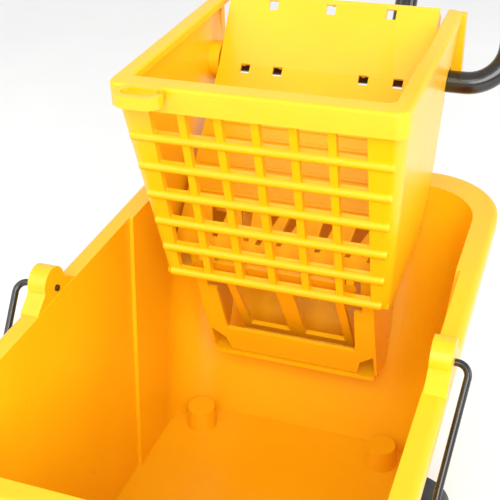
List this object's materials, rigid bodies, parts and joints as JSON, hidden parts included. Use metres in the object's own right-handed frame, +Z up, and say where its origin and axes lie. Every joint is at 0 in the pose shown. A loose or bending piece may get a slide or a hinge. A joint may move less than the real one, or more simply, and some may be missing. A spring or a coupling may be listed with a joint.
{
  "type": "mop bucket with side-press wringer",
  "caption": "Wheeled mop bucket with a bail, a lift-off side-press wringer, a lever-driven press plate and swivel casters.",
  "frame": {"origin": "on the ground, under the middle of the overall box", "axes": "+Z up, +Y towards the wringer end, +X to the lever side"},
  "size_m": [0.4206, 0.7862, 0.8756],
  "materials": {
    "tub_plastic": "glossy injection-moulded polypropylene",
    "black_wire": "black vinyl-coated steel wire",
    "black_tube": "gloss black powder coat",
    "grip_rubber": "matt black foam rubber",
    "bush_nylon": "natural nylon",
    "pin_steel": "zinc-plated steel",
    "caster_black": "black moulded plastic",
    "wheel_grey": "grey moulded plastic",
    "tyre_grey": "dark grey non-marking rubber"
  },
  "bodies": {
    "tub": {"bucket": "tub_plastic", "caster_stem_rear_left": "pin_steel", "caster_stem_rear_right": "pin_steel", "caster_stem_front_left": "pin_steel", "caster_stem_front_right": "pin_steel"},
    "bail": {"bail": "black_wire"},
    "wringer": {"wringer_frame": "tub_plastic", "hinge_rod": "pin_steel", "shaft_bush_left": "bush_nylon", "shaft_bush_right": "bush_nylon", "bush_retainer_left": "tub_plastic", "bush_retainer_right": "tub_plastic"},
    "link": {"link_frame": "tub_plastic", "pivot_pin_left": "pin_steel", "pivot_pin_right": "pin_steel"},
    "plate": {"press_plate": "tub_plastic"},
    "lever": {"lever": "black_tube", "lever_grip": "grip_rubber", "shaft_plug": "caster_black"},
    "swivel_rear_left": {"caster_fork_rear_left": "caster_black", "caster_axle_rear_left": "pin_steel"},
    "roller_rear_left": {"caster_wheel_rear_left": "wheel_grey", "caster_tyre_rear_left": "tyre_grey"},
    "swivel_rear_right": {"caster_fork_rear_right": "caster_black", "caster_axle_rear_right": "pin_steel"},
    "roller_rear_right": {"caster_wheel_rear_right": "wheel_grey", "caster_tyre_rear_right": "tyre_grey"},
    "swivel_front_left": {"caster_fork_front_left": "caster_black", "caster_axle_front_left": "pin_steel"},
    "roller_front_left": {"caster_wheel_front_left": "wheel_grey", "caster_tyre_front_left": "tyre_grey"},
    "swivel_front_right": {"caster_fork_front_right": "caster_black", "caster_axle_front_right": "pin_steel"},
    "roller_front_right": {"caster_wheel_front_right": "wheel_grey", "caster_tyre_front_right": "tyre_grey"}
  },
  "joints": [
    {"name": "bail_hinge", "type": "hinge", "parent": "tub", "child": "bail", "pos_m": [0, -0.156, 0.378], "axis": [-1, 0, 0], "range_deg": [0, 132]},
    {"name": "wringer_lift", "type": "slide", "parent": "tub", "child": "wringer", "axis": [0, 0, 1], "range_m": [0, 0.2]},
    {"name": "lever_hinge", "type": "hinge", "parent": "wringer", "child": "lever", "pos_m": [0, 0.129, 0.498], "axis": [1, 0, 0], "range_deg": [0, 60]},
    {"name": "link_hinge", "type": "hinge", "parent": "wringer", "child": "link", "pos_m": [0, 0.039, 0.218], "axis": [1, 0, 0], "range_deg": [-2.5, 0]},
    {"name": "plate_hinge", "type": "hinge", "parent": "link", "child": "plate", "pos_m": [0, -0.039, 0.36], "axis": [1, 0, 0], "range_deg": [0, 31]},
    {"name": "swivel_rear_left", "type": "hinge", "parent": "tub", "child": "swivel_rear_left", "pos_m": [-0.105, -0.01, 0.08], "axis": [0, 0, 1], "continuous": true},
    {"name": "roll_rear_left", "type": "hinge", "parent": "swivel_rear_left", "child": "roller_rear_left", "pos_m": [-0.13977, -0.01932, 0.038], "axis": [-0.2588, 0.9659, 0], "continuous": true},
    {"name": "swivel_rear_right", "type": "hinge", "parent": "tub", "child": "swivel_rear_right", "pos_m": [0.105, -0.01, 0.08], "axis": [0, 0, 1], "continuous": true},
    {"name": "roll_rear_right", "type": "hinge", "parent": "swivel_rear_right", "child": "roller_rear_right", "pos_m": [0.14086, -0.00686, 0.038], "axis": [0.0872, -0.9962, 0], "continuous": true},
    {"name": "swivel_front_left", "type": "hinge", "parent": "tub", "child": "swivel_front_left", "pos_m": [-0.105, -0.278, 0.08], "axis": [0, 0, 1], "continuous": true},
    {"name": "roll_front_left", "type": "hinge", "parent": "swivel_front_left", "child": "roller_front_left", "pos_m": [-0.11125, -0.24255, 0.038], "axis": [0.9848, 0.1736, 0], "continuous": true},
    {"name": "swivel_front_right", "type": "hinge", "parent": "tub", "child": "swivel_front_right", "pos_m": [0.105, -0.278, 0.08], "axis": [0, 0, 1], "continuous": true},
    {"name": "roll_front_right", "type": "hinge", "parent": "swivel_front_right", "child": "roller_front_right", "pos_m": [0.11731, -0.24417, 0.038], "axis": [0.9397, -0.342, 0], "continuous": true}
  ],
  "couplings": [
    {"joint": "link_hinge", "follows": "lever_hinge", "ratio": -0.04},
    {"joint": "plate_hinge", "follows": "lever_hinge", "ratio": 0.5}
  ]
}
